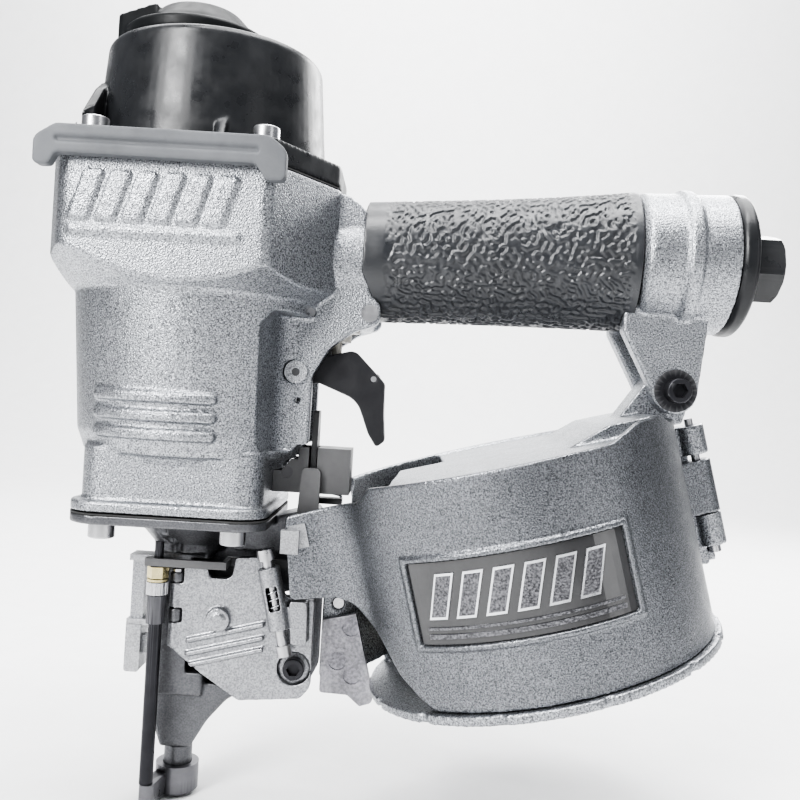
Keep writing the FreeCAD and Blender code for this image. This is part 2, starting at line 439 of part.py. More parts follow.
# =====================================================================
# front door and its latch
# =====================================================================
DOOR = [(-0.6, 82.0, 1), (9.8, 82.2, 1), (10.3, 78.6, 2.5), (18.0, 78.8, 2.5), (18.9, 86.0, 1.5), (27.0, 86.8, 2), (33.0, 84.0, 2), (36.6, 73.6, 2), (46.9, 73.4, 1.5), (47.0, 43.0, 5), (43.6, 39.0, 3), (22.5, 37.2, 3), (9.0, 45.8, 2), (-0.6, 53.2, 1)]
door = pxz(DOOR, -14, -10.6)
door = fuse(door, pxz([(11.5, 47.5), (45.8, 47.5), (45.8, 72.4), (34, 72.4), (34, 78), (19.2, 78), (11.5, 77)], -10.7, -3.9))
door = fuse(door, cyy(14.4, 64.9, -16.4, -13.9, 4.0), cyy(14.4, 64.9, -16.9, -14, 2.2))
# inclined rails and the block at the latch foot
for dz in (0.0, -4.6, -8.6):
    door = fuse(door, pxz([(4.0, 56.2 + dz), (30.0, 63.2 + dz), (30.0, 64.6 + dz), (4.0, 57.6 + dz)], -15.2, -13.9).common(pxz(DOOR, -20, 0)))
door = fuse(door, pxz([(38.6, 73.2, 1), (44.8, 73.2, 1), (45.4, 59.2, 1), (39.9, 58.2, 1)], -18.6, -13.9))
door = cut(door, cyy(-3.2, 62.0, -20, -5, 4.6), cyy(0.5, 72.0, -20, -10.6, 2.4))
LD = (-0.238, 0, 0.9713)
LP = (36.6, -17.7, 61.0)
def latch(s):
    return turned(s, LP, LD)
door = fuse(door, latch(cyz(0, 0, 2.5, 24.0, 3.75)))
for z0, z1 in ((54.2, 62.7), (67.8, 76.3)):
    door = fuse(door, cyz(-1, -12, z0, z1, 2.3), box(-1, 4, -13.9, -10.6, z0, z1))
door = cut(door, latch(cyz(0, 0, 3.6, 21.6, 3.05)), latch(cyz(0, 0, -10, 40, 1.95)), cyz(-1, -12, 40, 90, 1.25),
           box(-4, 1.6, -16, -9, 62.75, 67.75), box(-4, 1.6, -16, -9, 76.35, 90), cyy(41, 49.2, -20, -11.9, 5.7), cyy(41, 49.2, -13, 5, 2.1))
door = cut(door, latch(box(-1.9, 1.9, -6, -2.2, 9.5, 17.5)))
node("front_door", keep(door))
node("door_screw", shcs((41, -11.95, 49.2), (0, -1, 0), 3.7, 3.6, 1.95, 6.5, 4.0))
node("door_hinge_pin", fuse(cyz(-1, -12, 53.6, 80.6, 1.2), cyz(-1, -12, 80.05, 81.0, 2.0)))
bolt = fuse(cyz(0, 0, -5.5, 27.0, 1.85), cyz(0, 0, 4.2, 6.0, 2.95), cyz(0, 0, 26.5, 30.2, 3.1), cyz(0, 0, -6.5, -2.8, 2.6))
node("latch_bolt", latch(bolt))
node("latch_spring", latch(coil(2.45, 0.35, 6.05, 21.5, 6)))
strike = box(33.5, 49.9, -20.5, -14.4, 49.6, 53.6).common(pxz([(33, 49.6), (50, 49.6), (50, 54), (33, 53.2)], -30, 30))

# =====================================================================
# feed cylinder on the far side
# =====================================================================
FY, FZ = 20.2, 14.0
fc = fuse(cyx(FY, FZ, 26, 43.0, 10.6), box(27, 42, 8.8, 14, FZ - 9, FZ + 9))
fc = cut(fc, cyx(FY, FZ, 27.4, 44, 9.0), cyx(FY, FZ, 20, 30, 2.55))
node("feed_cylinder", feed(keep(fc)))
fcap = fuse(cyx(FY, FZ, 43.05, 46.0, 10.6), cyx(FY, FZ, 46.0, 47.5, 7.5))
node("feed_cylinder_cap", feed(fcap))
fp = fuse(cyx(FY, FZ, 27.7, 31.0, 8.93), cyx(FY, FZ, 8, 28, 2.5), cyx(FY, FZ, 6.5, 12.5, 4.2),
          box(6.6, 12.4, 9.4, FY, 4.2, FZ + 3), box(6.6, 12.4, 9.4, 14.0, -6.2, -3.2), box(6.6, 12.4, 14.2, 16.4, -6.2, 10))
fp = fuse(fp, box(6.6, 12.4, 9.4, 14.4, -6.2, -3.2))
fp = fuse(fp, cyz(9.6, 11.4, -6.0, 7.6, 1.04))
node("feed_piston", feed(keep(fp)))
pawl = pxy([(11.9, 9.4, 1), (11.9, 13.6, 1), (7.2, 13.6, 1), (1.0, 4.2), (1.0, 0.6), (2.6, 0.6), (8.2, 9.4, .5)], -2.7, 2.7)
pawl = cut(pawl, cyz(9.6, 11.4, -10, 10, 1.1))
node("feed_pawl", feed(pawl))
node("feed_spring", feed(turned(coil(7.0, 0.6, 0.1, 11.8, 4), (31.05, FY, FZ), (1, 0, 0))))

# =====================================================================
# magazine, built in its own frame
# =====================================================================
def poly(pts, z0, z1):
    return pxy(pts, z0, z1)
# far half, fixed
CF, CN = (-math.sqrt(76.5 ** 2 - 24.5 ** 2), 24.5), (-67.5, -36.0)
wall_f = ring(0, 0, Z_DBOT - 0.4, Z_DTOP, R_DRUM - WALL, R_DRUM).common(box(-70, 70, 0.4, 70, -120, 0))
wall_f = cut(wall_f, poly([(0, 0), (CF[0] * 1.3, CF[1] * 1.3), (-110, 0), (-110, -5), (0, -5)], -120, 0))
fil_f = ring(CF[0], CF[1], -93, -28, 16, 18.5).common(poly([CF, (CF[0] * 0.6, CF[1] * 0.6), (CF[0] + 26, CF[1] - 30), (CF[0], CF[1] - 30)], -93, -28))
neck_f = box(-96, CF[0], 6.0, 8.5, -93, -28)
floor_ = fuse(cyz(0, 0, -99.5, -96.5, 62.6), conez(0, 0, -101.0, -99.4, 58, 61.5))
floor_ = cut(floor_, cyz(0, 0, -102, -99.4, 52))
rear_roof = cyz(0, 0, -29.0, -26.4, R_DRUM - WALL + 0.2)
rear_roof = cut(rear_roof, box(-70, 70, -70, 0.4, -40, 0).common(ring(0, 0, -40, 0, 57.6, 80)))
rear_roof = cut(rear_roof, poly([(-80, -70), (-44, -70), (-33, 70), (-80, 70)], -40, 0))
rear_roof = cut(rear_roof, poly([(-80, 20), (-20, 20), (-20, 80), (-80, 80)], -40, 0))
hump = pxz([(8, -27, 2), (20, -26, 6), (34, -21.5, 8), (50, -21.5), (50, -28), (8, -28)], -30, 30).common(cyz(0, 0, -40, -10, 56.5))
earm = pxz([(34, -28), (42, -22, 8), (57.0, -9.2), (66.2, -9.2), (69.8, -18.0, 3), (64, -28)], -6.7, 6.7)
earm = fuse(earm, cyy(62.0, -16.0, -6.7, 6.7, 7.9))
strip = pxy([(57, 8.2), (60.1, 0.6), (66.5, 0.6), (70, 3.2, 2), (70, 7.2, 2), (63, 9.5, 3)], -80, -29.9)
house = fuse(wall_f, fil_f, neck_f, floor_, rear_roof, hump, earm, strip)
kn = fuse(cyz(HX, HY, -40.4, -30, 4.8), cyz(HX, HY, -73.5, -62.0, 4.8))
house = cut(house, cyz(HX, HY, -62.0, -40.4, 5.5))
house = fuse(house, kn)
house = cut(house, cyz(HX, HY, -90, -73.6, 3.0), cyz(HX, HY, -90, 0, 1.55), cyy(62, -16, -20, 20, 2.6))
for a in (200, 225, 250, 280, 310, 335):
    a = math.radians(a)
    house = cut(house, cyz(63.6 * math.cos(a), 63.6 * math.sin(a), -105, -90, 2.2))
house = cut(house, cyz(0, 0, -110, -90, 3.1))
house = mag(house)
house = cut(house, box(-50, 48.3, -80, 80, 0, 140), box(40, 56, -6, 20, 100.2, 130), feed(cyx(FY, FZ, 20, 49, 11.2)), feed(box(25, 44, 8.52, 16, FZ - 9.6, FZ + 9.6)))
house = cut(house, cyy(54, 68, 0, 20, 2.05), cyy(54, 68, 8.52, 16, 4.2))
node("magazine_housing", keep(house))
node("nose_bolts", cyy(44.5, 92, 3.7, 8.4, 2.0), shcs((54, 8.55, 68), (0, 1, 0), 3.6, 3.4, 2.0, 2.4, 4.0))

br = pxz([(48.6, 62.0, 1), (61.1, 65.0, .5), (61.1, 68.6, .5), (62.6, 68.0, .5), (69.2, 38.6, 1), (68.1, 32.9, 2), (63.8, 31.5, 1), (59.1, 35.4, 2), (49.0, 35.8, 1)], 3.7, 5.9)
br = cut(br, mag(cyz(0, 0, -101.5, -20, 62.9)))
for x, z in ((59.3, 60), (54.9, 47.5), (60.5, 42.6)):
    br = cut(br, cyy(x, z, 3.0, 4.1, 3.3))
node("feed_wall_bracket", keep(br))

# near half, the swinging cover
OUTL = [(-77.4, -30.9, 2), (-52, -30.0, 3), (-47, -25.4, 3), (28, -25.4, 8), (38, -21.4, 6), (48.5, -21.0, 2), (53.5, -24.8, 2), (61.5, -24.8), (61.5, -96.2), (-40, -96.2), (-44, -92.5, 6), (-49, -86, 10), (-54, -73, 14), (-60, -64, 8), (-66, -60.6, 6), (-81.4, -58.6, 2)]
wn = ring(0, 0, -100, -10, R_DRUM - WALL, R_DRUM).common(box(-70, 70, -70, -0.4, -120, 0))
wn = cut(wn, poly([(0, 0), (CN[0] * 1.6, CN[1] * 1.6), (-110, 0), (-110, 5), (0, 5)], -120, 0))
d1 = (0.8814, 0.4700)
fn = ring(CN[0], CN[1], -100, -10, 16, 18.5).common(poly([CN, (CN[0] * 0.6, CN[1] * 0.6), (CN[0] + 26, CN[1] + 30), (CN[0], CN[1] + 30)], -100, -10))
nn = box(-90, CN[0], -20.0, -17.5, -100, -10)
cover = fuse(wn, fn, nn).common(pxz(OUTL, -80, 10))
# recess for the badge plate
a0, a1 = math.radians(-90 - 43), math.radians(-90 + 27)
sector = poly([(0, 0), (90 * math.cos(a0), 90 * math.sin(a0)), (90 * math.cos((a0 * 2 + a1) / 3), 90 * math.sin((a0 * 2 + a1) / 3)), (90 * math.cos((a0 + a1 * 2) / 3), 90 * math.sin((a0 + a1 * 2) / 3)), (90 * math.cos(a1), 90 * math.sin(a1))], -77, -48)
lip = sector.common(ring(0, 0, -77, -48, 57, 61.4))
sector2 = poly([(0, 0), (90 * math.cos(a0 + .03), 90 * math.sin(a0 + .03)), (90 * math.cos((a0 * 2 + a1) / 3), 90 * math.sin((a0 * 2 + a1) / 3)), (90 * math.cos((a0 + a1 * 2) / 3), 90 * math.sin((a0 + a1 * 2) / 3)), (90 * math.cos(a1 - .03), 90 * math.sin(a1 - .03))], -75.4, -49.6)
rec = sector2.common(ring(0, 0, -80, -45, 59.4, 70))
cover = fuse(cover, lip)
cover = cut(cover, rec, box(30, 80, -7.3, 5, -29.5, 0), cyy(62, -16, -20, 1, 9.6))
k2 = fuse(cyz(HX, HY, -61.6, -42.6, 4.8), pxy([(58.6, -4.8), (67, -2.9, 2), (69, -1.5), (69, 0.3), (59.5, -0.5)], -61.6, -42.6))
cover = cut(cover, cyz(HX, HY, -120, -61.7, 5.4), cyz(HX, HY, -42.5, 0, 5.4))
cover = fuse(cover, k2)
cover = cut(cover, cyz(HX, HY, -90, 0, 1.6))
cover = mag(cover)
node("magazine_cover", keep(cover))
# badge plate with a generic relief
pa0, pa1 = a0 + .036, a1 - .036
def secpl(b0, b1, z0, z1, r0, r1):
    p = [(0, 0)] + [(90 * math.cos(b0 + (b1 - b0) * i / 4.0), 90 * math.sin(b0 + (b1 - b0) * i / 4.0)) for i in range(5)]
    return poly(p, z0, z1).common(ring(0, 0, z0, z1, r0, r1))
badge = secpl(pa0, pa1, -75.1, -49.9, 59.45, 60.1)
badge = fuse(badge, secpl(pa0 + .06, pa1 - .06, -73.3, -71.9, 59.9, 60.7), secpl(pa0 + .06, pa1 - .06, -70.6, -69.8, 59.9, 60.7))
for i in range(6):
    b = pa0 + .10 + i * .17
    q = secpl(b, b + .11, -67.0, -54.0, 59.9, 60.7)
    badge = fuse(badge, q)
node("cover_badge", mag(keep(badge)))
node("cover_catch", fuse(box(35.2, 41.2, -24.2, -21.0, 90.2, 98), mag(box(-77.0, -71.0, -21.1, -20.05, -42, -34))).common(box(30, 60, -30, 0, 80, 110)))
node("cover_hinge_pin", mag(fuse(cyz(HX, HY, -75, -27.5, 1.5), cyz(HX, HY, -76.2, -74.0, 2.4))))
node("magazine_bolt", fuse(shcs((166.4, -13.9, 152.2), (0, -1, 0), 4.25, 5.0, 2.5, 32.5, 4.6), cut(cyy(166.4, 152.2, -13.9, -13.02, 7.3), cyy(166.4, 152.2, -15, -12, 2.45))))
node("magazine_nut", turned(cut(hexz(0, 0, 0, 4, 8, 0), cyz(0, 0, -1, 6, 2.55)), (166.4, 13.1, 152.2), (0, 1, 0)))
node("platform_post", mag(fuse(cyz(0, 0, -96.4, -77, 6.0), cyz(0, 0, -99.6, -96.3, 3.0), cyz(0, 0, -96.4, -95, 9))))
plat = fuse(cyz(0, 0, -92, -90, 50), cyz(0, 0, -94.5, -86, 9.5))
plat = cut(plat, cyz(0, 0, -100, -80, 6.07), *[cyz(32 * math.cos(k * math.pi / 3), 32 * math.sin(k * math.pi / 3), -95, -80, 9) for k in range(6)])
node("nail_platform", mag(plat))
print(len(OUT), "nodes")
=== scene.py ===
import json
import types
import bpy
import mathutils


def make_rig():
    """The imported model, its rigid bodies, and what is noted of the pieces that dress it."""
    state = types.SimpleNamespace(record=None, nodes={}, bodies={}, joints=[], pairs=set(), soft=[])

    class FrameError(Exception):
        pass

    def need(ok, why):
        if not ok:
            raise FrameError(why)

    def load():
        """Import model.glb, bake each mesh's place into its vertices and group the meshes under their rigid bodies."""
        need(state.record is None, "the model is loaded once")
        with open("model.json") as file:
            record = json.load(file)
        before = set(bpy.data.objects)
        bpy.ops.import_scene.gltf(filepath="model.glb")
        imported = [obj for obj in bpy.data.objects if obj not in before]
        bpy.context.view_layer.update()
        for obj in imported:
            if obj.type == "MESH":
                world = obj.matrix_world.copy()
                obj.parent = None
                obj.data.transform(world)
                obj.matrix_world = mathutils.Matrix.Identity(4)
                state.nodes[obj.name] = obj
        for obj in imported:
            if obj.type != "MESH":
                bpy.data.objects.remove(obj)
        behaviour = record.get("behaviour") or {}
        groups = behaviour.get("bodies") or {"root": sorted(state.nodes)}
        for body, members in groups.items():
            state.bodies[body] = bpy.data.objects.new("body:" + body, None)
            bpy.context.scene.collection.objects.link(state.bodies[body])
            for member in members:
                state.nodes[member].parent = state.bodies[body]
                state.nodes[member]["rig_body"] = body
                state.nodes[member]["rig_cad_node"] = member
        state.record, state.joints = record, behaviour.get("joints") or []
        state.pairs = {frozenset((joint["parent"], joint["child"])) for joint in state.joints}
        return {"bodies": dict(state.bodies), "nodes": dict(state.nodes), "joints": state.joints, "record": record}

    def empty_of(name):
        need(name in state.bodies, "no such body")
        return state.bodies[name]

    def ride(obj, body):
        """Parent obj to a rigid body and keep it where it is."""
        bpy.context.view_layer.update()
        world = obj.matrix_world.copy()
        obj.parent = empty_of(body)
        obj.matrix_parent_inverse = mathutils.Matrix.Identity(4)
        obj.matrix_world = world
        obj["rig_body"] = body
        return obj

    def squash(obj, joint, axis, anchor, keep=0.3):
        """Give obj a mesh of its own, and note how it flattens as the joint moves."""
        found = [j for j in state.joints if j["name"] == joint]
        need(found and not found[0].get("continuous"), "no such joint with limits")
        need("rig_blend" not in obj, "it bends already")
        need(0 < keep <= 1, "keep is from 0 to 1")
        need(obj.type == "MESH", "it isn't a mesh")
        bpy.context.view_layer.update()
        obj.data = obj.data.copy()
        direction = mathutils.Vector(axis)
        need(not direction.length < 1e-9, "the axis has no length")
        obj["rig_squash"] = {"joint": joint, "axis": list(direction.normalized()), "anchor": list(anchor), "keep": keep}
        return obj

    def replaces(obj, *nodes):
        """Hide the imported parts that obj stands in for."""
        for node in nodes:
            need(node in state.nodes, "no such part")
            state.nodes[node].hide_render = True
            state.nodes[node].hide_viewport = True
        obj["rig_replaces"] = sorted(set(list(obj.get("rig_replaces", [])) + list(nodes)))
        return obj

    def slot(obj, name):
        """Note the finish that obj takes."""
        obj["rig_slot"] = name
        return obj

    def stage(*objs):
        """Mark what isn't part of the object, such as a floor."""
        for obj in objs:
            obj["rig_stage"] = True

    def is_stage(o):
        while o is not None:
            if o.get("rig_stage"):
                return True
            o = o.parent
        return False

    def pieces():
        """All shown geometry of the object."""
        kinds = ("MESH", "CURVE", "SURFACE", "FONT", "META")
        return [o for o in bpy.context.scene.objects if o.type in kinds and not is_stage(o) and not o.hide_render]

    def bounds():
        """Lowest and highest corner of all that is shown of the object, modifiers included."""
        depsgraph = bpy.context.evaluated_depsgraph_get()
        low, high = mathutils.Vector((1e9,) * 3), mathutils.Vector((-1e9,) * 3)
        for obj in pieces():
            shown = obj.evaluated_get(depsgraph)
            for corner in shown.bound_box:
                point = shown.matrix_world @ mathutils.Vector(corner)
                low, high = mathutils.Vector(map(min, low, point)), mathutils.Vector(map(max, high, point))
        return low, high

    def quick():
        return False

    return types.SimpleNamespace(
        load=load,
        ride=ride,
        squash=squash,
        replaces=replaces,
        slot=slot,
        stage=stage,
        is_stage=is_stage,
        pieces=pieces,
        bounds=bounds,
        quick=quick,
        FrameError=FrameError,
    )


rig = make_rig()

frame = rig.load()

import bpy, bmesh, json, math
import numpy as np
from mathutils import Vector, Matrix

b0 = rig.bounds()
NODES = frame["nodes"]
REC = frame["record"]
BODY = {n: b for b, ns in REC["behaviour"]["bodies"].items() for n in ns}
SLOT = {p["node"]: p["material_slot"] for p in REC["subparts"]}

# ---------------------------------------------------------------- materials
def mat(name, col, metal=0.0, rough=0.5, grain=0.8, depth=0.05, kind="noise", var=0.10,
        rvar=0.10, wear=0.0, wear_col=(0.6, 0.6, 0.6), coat=0.0, speck=0.0, spec=0.5, brushed=None, dust=0.0):
    """procedural surface: grain is the bump's size and depth its height, both in mm"""
    m = bpy.data.materials.new(name)
    m.use_nodes = True
    nt = m.node_tree
    N, L = nt.nodes, nt.links
    bs = N["Principled BSDF"]
    tc = N.new("ShaderNodeTexCoord")
    vec = tc.outputs["Object"]
    if brushed is not None:
        mp = N.new("ShaderNodeMapping")
        mp.inputs["Scale"].default_value = brushed
        L.new(vec, mp.inputs["Vector"])
        vec = mp.outputs["Vector"]
    fine = N.new("ShaderNodeTexNoise")
    fine.inputs["Scale"].default_value = 1000.0 / grain
    fine.inputs["Detail"].default_value = 3.0
    L.new(vec, fine.inputs["Vector"])
    big = N.new("ShaderNodeTexNoise")
    big.inputs["Scale"].default_value = 45.0
    big.inputs["Detail"].default_value = 6.0
    big.inputs["Roughness"].default_value = 0.65
    L.new(tc.outputs["Object"], big.inputs["Vector"])
    # colour: broad blotches and fine speckle
    r = N.new("ShaderNodeMapRange")
    r.inputs["From Min"].default_value = 0.3
    r.inputs["From Max"].default_value = 0.7
    r.inputs["To Min"].default_value = 1.0 - var
    r.inputs["To Max"].default_value = 1.0 + var
    L.new(big.outputs["Fac"], r.inputs["Value"])
    r2 = N.new("ShaderNodeMapRange")
    r2.inputs["From Min"].default_value = 0.35
    r2.inputs["From Max"].default_value = 0.65
    r2.inputs["To Min"].default_value = 1.0 - speck
    r2.inputs["To Max"].default_value = 1.0 + speck
    L.new(fine.outputs["Fac"], r2.inputs["Value"])
    mul = N.new("ShaderNodeMath")
    mul.operation = "MULTIPLY"
    L.new(r.outputs["Result"], mul.inputs[0])
    L.new(r2.outputs["Result"], mul.inputs[1])
    vm = N.new("ShaderNodeVectorMath")
    vm.operation = "SCALE"
    vm.inputs[0].default_value = col
    L.new(mul.outputs["Value"], vm.inputs["Scale"])
    out = vm.outputs["Vector"]
    if wear > 0:
        geo = N.new("ShaderNodeNewGeometry")
        wr = N.new("ShaderNodeMapRange")
        wr.inputs["From Min"].default_value = 0.52
        wr.inputs["From Max"].default_value = 0.60
        L.new(geo.outputs["Pointiness"], wr.inputs["Value"])
        wn = N.new("ShaderNodeMath")
        wn.operation = "MULTIPLY"
        wn.inputs[1].default_value = wear
        L.new(wr.outputs["Result"], wn.inputs[0])
        wm = N.new("ShaderNodeMath")
        wm.operation = "MULTIPLY"
        L.new(wn.outputs["Value"], wm.inputs[0])
        L.new(r.outputs["Result"], wm.inputs[1])
        mix = N.new("ShaderNodeMix")
        mix.data_type = "RGBA"
        L.new(wm.outputs["Value"], mix.inputs[0])
        L.new(out, mix.inputs[6])
        mix.inputs[7].default_value = (*wear_col, 1)
        out = mix.outputs[2]
    L.new(out, bs.inputs["Base Color"])
    rr = N.new("ShaderNodeMapRange")
    rr.inputs["From Min"].default_value = 0.3
    rr.inputs["From Max"].default_value = 0.7
    rr.inputs["To Min"].default_value = max(0.03, rough - rvar)
    rr.inputs["To Max"].default_value = min(1.0, rough + rvar)
    mid = N.new("ShaderNodeTexNoise")
    mid.inputs["Scale"].default_value = 160.0
    mid.inputs["Detail"].default_value = 5.0
    L.new(tc.outputs["Object"], mid.inputs["Vector"])
    L.new(mid.outputs["Fac"], rr.inputs["Value"])
    L.new(rr.outputs["Result"], bs.inputs["Roughness"])
    bs.inputs["Metallic"].default_value = metal
    bs.inputs["Specular IOR Level"].default_value = spec
    if coat:
        bs.inputs["Coat Weight"].default_value = coat
        bs.inputs["Coat Roughness"].default_value = 0.12
    h = fine.outputs["Fac"]
    if kind == "cells":
        vo = N.new("ShaderNodeTexVoronoi")
        vo.inputs["Scale"].default_value = 1000.0 / grain
        L.new(vec, vo.inputs["Vector"])
        ad = N.new("ShaderNodeMath")
        ad.operation = "ADD"
        L.new(vo.outputs["Distance"], ad.inputs[0])
        L.new(fine.outputs["Fac"], ad.inputs[1])
        h = ad.outputs["Value"]
    bu = N.new("ShaderNodeBump")
    bu.inputs["Distance"].default_value = depth / 1000.0
    bu.inputs["Strength"].default_value = 1.0
    L.new(h, bu.inputs["Height"])
    L.new(bu.outputs["Normal"], bs.inputs["Normal"])
    return m

MATS = {
    "frame_paint": mat("frame_paint", (0.35, 0.36, 0.378), 0.92, 0.36, 0.50, 0.11, "cells", 0.06, 0.06, 0.25, (0.68, 0.69, 0.70), speck=0.60),
    "black_satin": mat("black_satin", (0.018, 0.019, 0.021), 0.0, 0.33, 0.9, 0.012, var=0.25, rvar=0.10, wear=0.10, wear_col=(0.15, 0.15, 0.15)),
    "gasket": mat("gasket", (0.05, 0.05, 0.05), 0.0, 0.8, 0.6, 0.04, var=0.2),
    "steel": mat("steel", (0.56, 0.56, 0.57), 1.0, 0.30, 0.5, 0.012, var=0.10, rvar=0.12, brushed=(1, 1, 6)),
    "valve_polymer": mat("valve_polymer", (0.08, 0.08, 0.085), 0.0, 0.5, 0.8, 0.02),
    "spring_steel": mat("spring_steel", (0.5, 0.5, 0.52), 1.0, 0.25, 0.4, 0.01),
    "black_screw": mat("black_screw", (0.045, 0.045, 0.05), 0.6, 0.38, 0.5, 0.02, var=0.2, wear=0.4, wear_col=(0.4, 0.4, 0.4)),
    "guard_rubber": mat("guard_rubber", (0.125, 0.13, 0.138), 0.0, 0.58, 0.5, 0.03, var=0.15, rvar=0.1, wear=0.1, wear_col=(0.3, 0.3, 0.3)),
    "alu_bare": mat("alu_bare", (0.66, 0.66, 0.67), 1.0, 0.32, 0.6, 0.02, brushed=(1, 1, 8)),
    "seal_rubber": mat("seal_rubber", (0.02, 0.02, 0.02), 0.0, 0.5, 0.5, 0.02),
    "bumper": mat("bumper", (0.32, 0.08, 0.035), 0.0, 0.45, 0.8, 0.03),
    "grip_rubber": mat("grip_rubber", (0.026, 0.028, 0.032), 0.0, 0.36, 0.35, 0.02, var=0.2, rvar=0.1, spec=0.9),
    "trigger_black": mat("trigger_black", (0.035, 0.035, 0.038), 0.3, 0.40, 0.5, 0.02, var=0.2, wear=0.35, wear_col=(0.35, 0.35, 0.35)),
    "white_polymer": mat("white_polymer", (0.62, 0.60, 0.55), 0.0, 0.4, 0.8, 0.02, var=0.06),
    "nose_steel": mat("nose_steel", (0.15, 0.152, 0.16), 0.85, 0.40, 0.6, 0.06, "cells", 0.15, 0.1, 0.35, (0.45, 0.45, 0.45), speck=0.15),
    "nose_light": mat("nose_light", (0.36, 0.365, 0.38), 0.9, 0.38, 0.6, 0.06, "cells", 0.08, 0.08, 0.25, (0.6, 0.6, 0.6), speck=0.28),
    "blued_steel": mat("blued_steel", (0.045, 0.045, 0.05), 0.8, 0.36, 0.5, 0.02, var=0.2, wear=0.4, wear_col=(0.4, 0.4, 0.42)),
    "brass_nut": mat("brass_nut", (0.66, 0.58, 0.34), 1.0, 0.30, 0.4, 0.015, var=0.15),
    "raw_diecast": mat("raw_diecast", (0.30, 0.295, 0.32), 0.85, 0.42, 1.1, 0.07, "cells", 0.22, 0.12, 0.2, (0.6, 0.6, 0.6), speck=0.25),
    "cover_paint": mat("cover_paint", (0.20, 0.207, 0.22), 0.88, 0.33, 0.48, 0.08, "cells", 0.08, 0.06, 0.30, (0.50, 0.51, 0.53), speck=0.50),
    "gloss_black": mat("gloss_black", (0.012, 0.012, 0.014), 0.0, 0.12, 0.9, 0.010, var=0.2, rvar=0.05, coat=0.7, wear=0.2, wear_col=(0.2, 0.2, 0.2)),
    "floor": mat("floor", (0.80, 0.80, 0.80), 0.0, 0.7, 2.0, 0.05, var=0.02),
}

for n, o in NODES.items():
    o.data.materials.clear()
    o.data.materials.append(MATS[SLOT[n]])
    for p in o.data.polygons:
        p.material_index = 0

# ---------------------------------------------------------------- cast and moulded skins
def smooth_np(co, edges, n, iters, lam=0.5, mu=None):
    """repeated averaging along edges, with the shrinking taken back when mu is given"""
    a, b = edges[:, 0], edges[:, 1]
    deg = np.bincount(a, minlength=n) + np.bincount(b, minlength=n)
    deg = np.maximum(deg, 1)[:, None]
    def step(co, f):
        s = np.zeros_like(co)
        for k in range(3):
            s[:, k] = np.bincount(a, co[b, k], n) + np.bincount(b, co[a, k], n)
        return co + f * (s / deg - co)
    for _ in range(iters):
        co = step(co, lam)
        if mu:
            co = step(co, mu)
    return co

def skin(node, voxel, iters, shape=None, material=None, mu=-0.52):
    """a remeshed, softened copy of a CAD node, with rounded edges and fillets like a casting's"""
    src = NODES[node]
    me = src.data.copy()
    bm = bmesh.new()
    bm.from_mesh(me)
    bmesh.ops.remove_doubles(bm, verts=bm.verts, dist=2e-6)
    bm.to_mesh(me)
    bm.free()
    o = bpy.data.objects.new("look_" + node, me)
    bpy.context.scene.collection.objects.link(o)
    o.matrix_world = src.matrix_world.copy()
    md = o.modifiers.new("r", "REMESH")
    md.mode = "VOXEL"
    md.voxel_size = voxel / 1000.0
    dg = bpy.context.evaluated_depsgraph_get()
    new = bpy.data.meshes.new_from_object(o.evaluated_get(dg))
    o.modifiers.clear()
    o.data = new
    n = len(new.vertices)
    co = np.empty(n * 3)
    new.vertices.foreach_get("co", co)
    co = co.reshape(-1, 3)
    ed = np.empty(len(new.edges) * 2, dtype=np.int64)
    new.edges.foreach_get("vertices", ed)
    ed = ed.reshape(-1, 2)
    co = smooth_np(co, ed, n, iters, 0.5, mu)
    if shape:
        new.vertices.foreach_set("co", co.ravel())
        new.update()
        no = np.empty(n * 3)
        new.vertex_normals.foreach_get("vector", no)
        co = shape(co, no.reshape(-1, 3))
    new.vertices.foreach_set("co", np.ascontiguousarray(co).ravel())
    new.update()
    new.polygons.foreach_set("use_smooth", [True] * len(new.polygons))
    new.materials.clear()
    new.materials.append(material or MATS[SLOT[node]])
    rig.replaces(o, node)
    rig.ride(o, BODY[node])
    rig.slot(o, SLOT[node])
    return o

rng = np.random.default_rng(7)

def wrinkle(co, no):
    """worm-like raised wrinkles on the grip's outer face, fading at both ends"""
    p = co * 1000.0
    k = rng.normal(size=(46, 3))
    k /= np.linalg.norm(k, axis=1)[:, None]
    k *= (2 * np.pi / 2.35) * rng.uniform(0.86, 1.14, size=(46, 1))
    ph = rng.uniform(0, 2 * np.pi, 46)
    f = np.zeros(len(p))
    for i in range(46):
        f += np.cos(p @ k[i] + ph[i])
    f /= np.sqrt(23.0)
    h = np.tanh(f * 2.6)
    # outer face only
    zc = 191.9 + (p[:, 0] - 55) * 0.059
    out = (no[:, 1] * p[:, 1] + no[:, 2] * (p[:, 2] - zc)) > 8
    fade = np.clip((p[:, 0] - 63.5) / 4, 0, 1) * np.clip((149.0 - p[:, 0]) / 3, 0, 1)
    return co + no * (h * 0.30 - 0.22)[:, None] * (out * fade)[:, None] / 1000.0

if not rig.quick():
    skin("frame_casting", 0.66, 5)
    skin("magazine_housing", 0.6, 5)
    def tip(co, no):
        """the driver tube stays inside the foot's bore"""
        rad = np.hypot(co[:, 0], co[:, 1])
        f = np.where((co[:, 2] < 0.0166) & (rad > 0.00488), 0.00488 / np.maximum(rad, 1e-6), 1.0)
        co = co.copy()
        co[:, 0] *= f
        co[:, 1] *= f
        return co
    skin("nose_body", 0.6, 3, tip)
    skin("exhaust_deflector", 0.6, 4, material=mat("deflector_black", (0.012, 0.013, 0.014), 0.0, 0.42, 0.9, 0.012, var=0.25, rvar=0.08, spec=0.22))
skin("head_cap", 0.7, 4)
skin("magazine_cover", 0.55, 4)
skin("handle_grip", 0.38, 4, wrinkle)
skin("side_guards", 0.45, 4)
skin("front_door", 0.42, 2)

